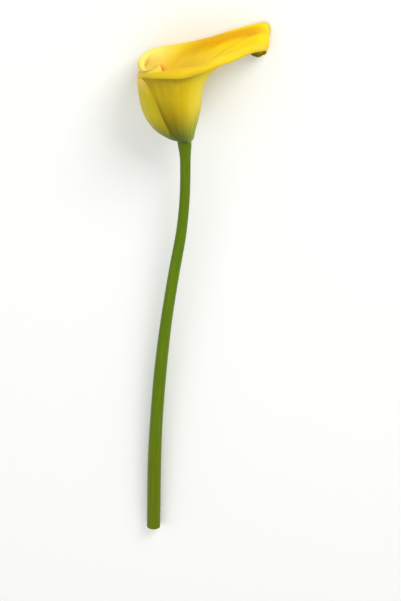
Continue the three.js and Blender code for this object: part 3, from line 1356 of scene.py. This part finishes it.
@dataclass(frozen=True)
class PetalFinish(Finish):
    """What both faces of the spathe share: satin fleshy skin, veined and banded lengthwise."""

    grains: tuple[Grain, ...] = (
        Grain("veins", detail=4.0, roughness=0.62, stretch=(150.0, 2.2, 1.0), source=Source.MAP),
        Grain("bands", stretch=(26.0, 1.3, 1.0), source=Source.MAP),
        Grain("clouds", 60.0),
        Grain("skin", 5200.0, detail=2.0),
    )
    bumps: tuple[Bump, ...] = (Bump("bands", 0.00009), Bump("veins", 0.00006), Bump("skin", 0.000006))
    flesh: Flesh = Flesh(0.25, (1.0, 0.62, 0.08), 0.0012)
    roughness: Fade | float = Fade("veins", 0.25, 0.75, 0.37, 0.52)
    specular: float = 0.15
    foot_rag: float = 16.0  # how far the veins shift the green of the foot up and down
    tip_rag: float = 4.0
    tip_rim: float = 0.8

    def prepare(self, sheet: NodeSheet) -> None:
        """Makes every pattern, and the distances that the veins make ragged.

        Args:
            sheet: the material's nodes.
        """
        super().prepare(sheet)
        sheet.weigh("ragged_climb", -self.foot_rag / 2, climb=1.0, veins=self.foot_rag)
        sheet.weigh("ragged_tip", -self.tip_rag / 2, tip=1.0, rim=self.tip_rim, veins=self.tip_rag)


AWAY_FROM_EDGES = (Fade("side", 0.7, 0.2), Fade("side", -0.8, -0.5))
AT_TIP = (Fade("ragged_tip", 20.0, 8.0),)


@dataclass(frozen=True)
class OutsideFinish(PetalFinish):
    """The outer face: dull gold, lighter towards the limb where a highlight is painted, and olive where the
    outer edge wraps round, where shade is painted.
    """

    name: str = "spathe_outside"
    ground: str = "CBAF00"
    patches: tuple[Patch, ...] = (
        Patch("B59800", (Fade("clouds", 0.35, 0.7, end=0.7),)),
        # Painted light and shade: lighter towards the limb as a painted highlight, and painted shade,
        # deeper, round the front and along the outer edge
        Patch("E4D030", (Fade("side", 0.6, 0.25, end=0.85),)),
        Patch("6C5C00", (Fade("side", 0.4, 0.88), Fade("climb", 42.0, 12.0, start=0.36))),
        # Painted shadow: a deeper strip just beside the outer edge, high on the front
        Patch("6C5C00", (Fade("side", 0.9, 0.97, end=0.6), Fade("climb", 44.0, 26.0))),
        # The part that is wrapped inside: its yellow-green tone, lighter as painted light shining through
        # the single sheet, with a painted highlight towards the top
        Patch(Mix("C2B012", "F0CF58", (Fade("climb", 36.0, 46.0),)), (Fade("side", -0.55, -0.8, end=0.9),)),
        Patch("E4D030", (Fade("bands", 0.42, 0.66, end=0.12),)),
        # The rim, the green foot and the tip, whose olive is partly the tip's own green and partly painted
        # shade where it curls under
        Patch("D2BA20", (Fade("rim", 3.0, 0.8, end=0.9),)),
        Patch(Mix("4E6000", "849310", AWAY_FROM_EDGES), (Fade("ragged_climb", 28.0, 6.5),)),
        Patch("7A7414", AT_TIP),
    )


@dataclass(frozen=True)
class InsideFinish(PetalFinish):
    """The inner face: bright yellow, orange-gold along the far side of the limb, partly painted shade in
    its crease, paler round the mouth, with a painted glow inside it, a painted highlight on its closed side
    and painted shade in the throat.
    """

    name: str = "spathe_inside"
    ground: str = "F0D10E"
    patches: tuple[Patch, ...] = (
        Patch("EDC90C", (Fade("clouds", 0.35, 0.7),)),
        # Painted light and shade: a painted glow inside the mouth, painted shade deeper in the throat and a
        # painted highlight on the closed side
        Patch("FFE048", (Fade("climb", 54.0, 38.0),)),
        Patch("D79D06", (Fade("climb", 32.0, 8.0, end=0.9),)),
        Patch("FBE67A", (Fade("side", -0.35, -0.65, end=0.9), Fade("climb", 20.0, 38.0))),
        # The orange-gold band under the far rim of the limb: partly its own orange-gold, partly painted
        # shade along the crease
        Patch(
            "DCA000",
            (
                Fade("rim", 2.5, 6.0, end=0.95),
                Fade("rippled_rim", 22.0, 12.0),
                Fade("tip", 13.0, 26.0),
                Fade("side", -0.46, -0.18),
                Fade("side", 0.03, -0.05),
            ),
        ),
        # The pale rim, the corner of the limb and the margin
        Patch(
            Mix("EDC824", "D6B614", (Fade("side", 0.3, 0.5),)),
            (Fade("rim", 13.0, 4.0, end=0.8), Fade("side", -0.12, 0.04, start=0.15)),
        ),
        Patch("D6DA1E", (Fade("tip", 25.0, 17.0, end=0.45), Fade("rim", 8.0, 1.0))),
        Patch("CDB820", (Fade("rim", 1.6, 0.2, end=0.7),)),
        Patch(Mix("A99610", "B5A21A", AWAY_FROM_EDGES), (Fade("ragged_climb", 8.0, 1.0),)),
        Patch("858010", AT_TIP),
    )
    rim_ripple: float = 9.0

    def prepare(self, sheet: NodeSheet) -> None:
        """Makes every pattern, and the distance from the rim that the bands make ripple."""
        super().prepare(sheet)
        sheet.weigh("rippled_rim", -self.rim_ripple / 2, rim=1.0, bands=self.rim_ripple)


@dataclass(frozen=True)
class SpadixFinish(Finish):
    """The spike: matt orange-yellow florets, darker between them as painted shade in the hollows, on a pale
    stalk.
    """

    name: str = "spadix_florets"
    ground: str = "C9720C"
    patches: tuple[Patch, ...] = (
        # Painted shade: darker in the hollows between florets, lighter on their tops
        Patch("F4B52A", (Fade("floret", 0.05, 0.75),)),
        Patch("F9CF55", (Fade("flecks", 0.4, 0.75, end=0.4),)),
        Patch("D9C05A", (Fade("along", 6.0, 3.0),)),
    )
    grains: tuple[Grain, ...] = (Grain("flecks", 900.0, 2.0), Grain("skin", 4200.0, 3.0, 0.6))
    bumps: tuple[Bump, ...] = (Bump("skin", 0.00003),)
    flesh: Flesh = Flesh(0.2, (1.0, 0.5, 0.1), 0.0008)
    roughness: Fade | float = 0.62
    specular: float = 0.35


@dataclass(frozen=True)
class StemFinish(Finish):
    """The stalk's skin: glossy fresh green with faint lengthwise lines."""

    name: str = "stem_skin"
    ground: str = "566E00"
    patches: tuple[Patch, ...] = (
        Patch("567400", (Fade("along", 4.0, 60.0),)),
        Patch("5C6E00", (Fade("along", 90.0, 215.0),)),
        Patch("7C9010", (Fade("lines", 0.42, 0.7, end=0.4),)),
        Patch("4C6A14", (Fade("mottle", 0.45, 0.8, end=0.3),)),
    )
    grains: tuple[Grain, ...] = (
        Grain("lines", detail=4.0, roughness=0.6, stretch=(2.6, 2.6, 0.035), source=Source.TUBE),
        Grain("fine_lines", roughness=0.55, stretch=(7.5, 7.5, 0.05), source=Source.TUBE),
        Grain("mottle", 140.0),
        Grain("skin", 4000.0, 2.0),
    )
    bumps: tuple[Bump, ...] = (Bump("lines", 0.00006), Bump("fine_lines", 0.00002), Bump("skin", 0.000005))
    flesh: Flesh = Flesh(0.15, (0.5, 1.0, 0.15), 0.001)
    roughness: Fade | float = Fade("fine_lines", 0.3, 0.7, 0.34, 0.46)
    specular: float = 0.12


@dataclass(frozen=True)
class CutFinish(Finish):
    """The cut end of the stalk: pale moist pith with darker strands."""

    name: str = "stem_cut"
    ground: str = "8FA24A"
    patches: tuple[Patch, ...] = (
        Patch("D5DDA0", (Fade("strands", 0.12, 0.34),)),
        Patch("B9C67A", (Fade("mottle", 0.4, 0.75, end=0.5),)),
    )
    grains: tuple[Grain, ...] = (
        Grain("strands", 1900.0, pattern=Pattern.CELLS),
        Grain("mottle", 700.0),
        Grain("pith", 2500.0),
    )
    bumps: tuple[Bump, ...] = (Bump("strands", 0.00008), Bump("pith", 0.00003))
    flesh: Flesh = Flesh(0.3, (1.0, 0.2, 0.1), 0.001)
    roughness: Fade | float = 0.5
    specular: float = 0.4


@dataclass(frozen=True)
class TableFinish:
    """The plain pale table."""

    name: str = "pale_table"
    colour: str = "F4F4F2"
    roughness: float = 0.7
    specular: float = 0.2

    def make(self) -> Material:
        """Builds the material.

        Returns:
            The material.
        """
        sheet = NodeSheet(self.name)
        sheet.dress(Base_Color=self.colour, Roughness=self.roughness, Specular_IOR_Level=self.specular)
        return sheet.material


# The studio


@dataclass(frozen=True)
class Lamp:
    """A soft square lamp: where it hangs and what it faces, in metres, its side, watts and colour."""

    name: str
    place: Triple
    aim: Triple
    size: float
    power: float
    colour: Triple

    def hang(self) -> None:
        """Hangs the lamp in the scene."""
        data = bpy.data.lights.new(self.name, "AREA")
        data.shape, data.size, data.energy, data.color = "SQUARE", self.size, self.power, self.colour
        lamp = bpy.data.objects.new(self.name, data)
        bpy.context.scene.collection.objects.link(lamp)
        lamp.location = self.place
        lamp.rotation_euler = (Vector(self.place) - Vector(self.aim)).to_track_quat("Z", "Y").to_euler()


@dataclass(frozen=True)
class Studio:
    """The table, the lights and the camera."""

    view_rise: float = 26.0
    lens: float = 120.0
    sensor: float = 36.0
    image: tuple[int, int] = (401, 601)
    fill: float = 1.09  # how much larger the picture is than the flower
    clip: Pair = (0.01, 20.0)
    table_size: float = 6.0
    room: float = 0.56
    lamps: tuple[Lamp, ...] = (
        Lamp("soft_key", (0.6, 0.85, 0.7), (0.0, 0.05, 0.02), 0.6, 8.5, (1.0, 0.985, 0.96)),
        Lamp("soft_fill", (-0.7, -0.1, 0.8), (0.0, 0.0, 0.02), 0.8, 2.0, (0.97, 0.985, 1.0)),
        Lamp("soft_top", (0.1, -0.2, 1.3), (0.0, 0.0, 0.0), 1.0, 3.5, (1.0, 1.0, 1.0)),
    )

    def look(self) -> Matrix:
        """Finds the camera's turn: the photograph's view of the upright flower, laid down with it.

        Returns:
            The turn, with the camera's right, up and back as its columns.
        """
        rise = math.radians(self.view_rise)
        turn = Matrix(LIE.turn().tolist())
        back = (turn @ Vector((0, -math.cos(rise), math.sin(rise)))).normalized()
        right = (turn @ Vector((0, 0, 1))).cross(back).normalized()
        return Matrix((right, back.cross(right), back)).transposed()

    def camera(self, low: Vector, high: Vector) -> None:
        """Places the camera so that the whole flower fits the picture.

        Args:
            low: the flower's lowest corner.
            high: its highest corner.
        """
        data = bpy.data.cameras.new("camera")
        data.lens, data.sensor_width = self.lens, self.sensor
        camera = bpy.data.objects.new("camera", data)
        bpy.context.scene.collection.objects.link(camera)
        look = self.look()
        corners = product(*zip(low, high))
        seen = [look.transposed() @ Vector(corner) for corner in corners]
        middle = [(min(p[k] for p in seen) + max(p[k] for p in seen)) / 2 for k in range(3)]
        tall = max(p[1] for p in seen) - min(p[1] for p in seen)
        wide = max(p[0] for p in seen) - min(p[0] for p in seen)
        half = self.sensor / 2 / self.lens
        width, height = self.image
        distance = max(tall / 2, wide / 2 * height / width) * self.fill / half
        target = look @ Vector(middle)
        camera.matrix_world = Matrix.Translation(target + look.col[2] * distance) @ look.to_4x4()
        data.clip_start, data.clip_end = self.clip
        bpy.context.scene.camera = camera

    def table(self) -> None:
        """Lays the plain pale table under the flower."""
        clear_selection()
        bpy.ops.mesh.primitive_plane_add(size=self.table_size, location=(0, 0, 0))
        table = bpy.context.object
        table.name = "table"
        table.data.materials.append(TableFinish().make())
        table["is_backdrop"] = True

    def light(self) -> None:
        """Lights the table softly: most from beyond the flower's mouth, a little from the other sides."""
        world = bpy.data.worlds.new("room")
        world.use_nodes = True
        background = world.node_tree.nodes["Background"].inputs
        background["Color"].default_value = (1.0, 1.0, 1.0, 1.0)
        background["Strength"].default_value = self.room
        bpy.context.scene.world = world
        for lamp in self.lamps:
            lamp.hang()
        bpy.context.scene.view_settings.view_transform = "Standard"


@dataclass
class ArumLily:
    """The whole flower: spathe, spadix and stem."""

    spathe: Spathe = field(default_factory=Spathe)
    spadix: Spadix = field(default_factory=Spadix)
    stem: Stem = field(default_factory=Stem)

    def build(self) -> None:
        """Makes each piece with its body and finish, attaches it to the root, hides the imported part of
        its node, and reports it.
        """
        pieces = {
            "spathe": self.spathe.build(OutsideFinish().make(), InsideFinish().make()),
            "spadix": self.spadix.build(SpadixFinish().make()),
            "stem": self.stem.build(StemFinish().make(), CutFinish().make()),
        }
        for node, piece in pieces.items():
            settle(piece)
            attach(piece, "root")
            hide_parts(node)
            mesh = piece.data
            log.info("%s: %d points, %d faces", piece.name, len(mesh.vertices), len(mesh.polygons))


def main() -> None:
    """Builds the flower, the table, the lights and the camera."""
    logging.basicConfig(level=logging.INFO, format="%(name)s %(message)s")
    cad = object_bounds()
    ArumLily().build()
    studio = Studio()
    studio.table()
    studio.light()
    studio.camera(*(Vector(corner) for corner in cad))


if __name__ == "__main__":
    main()
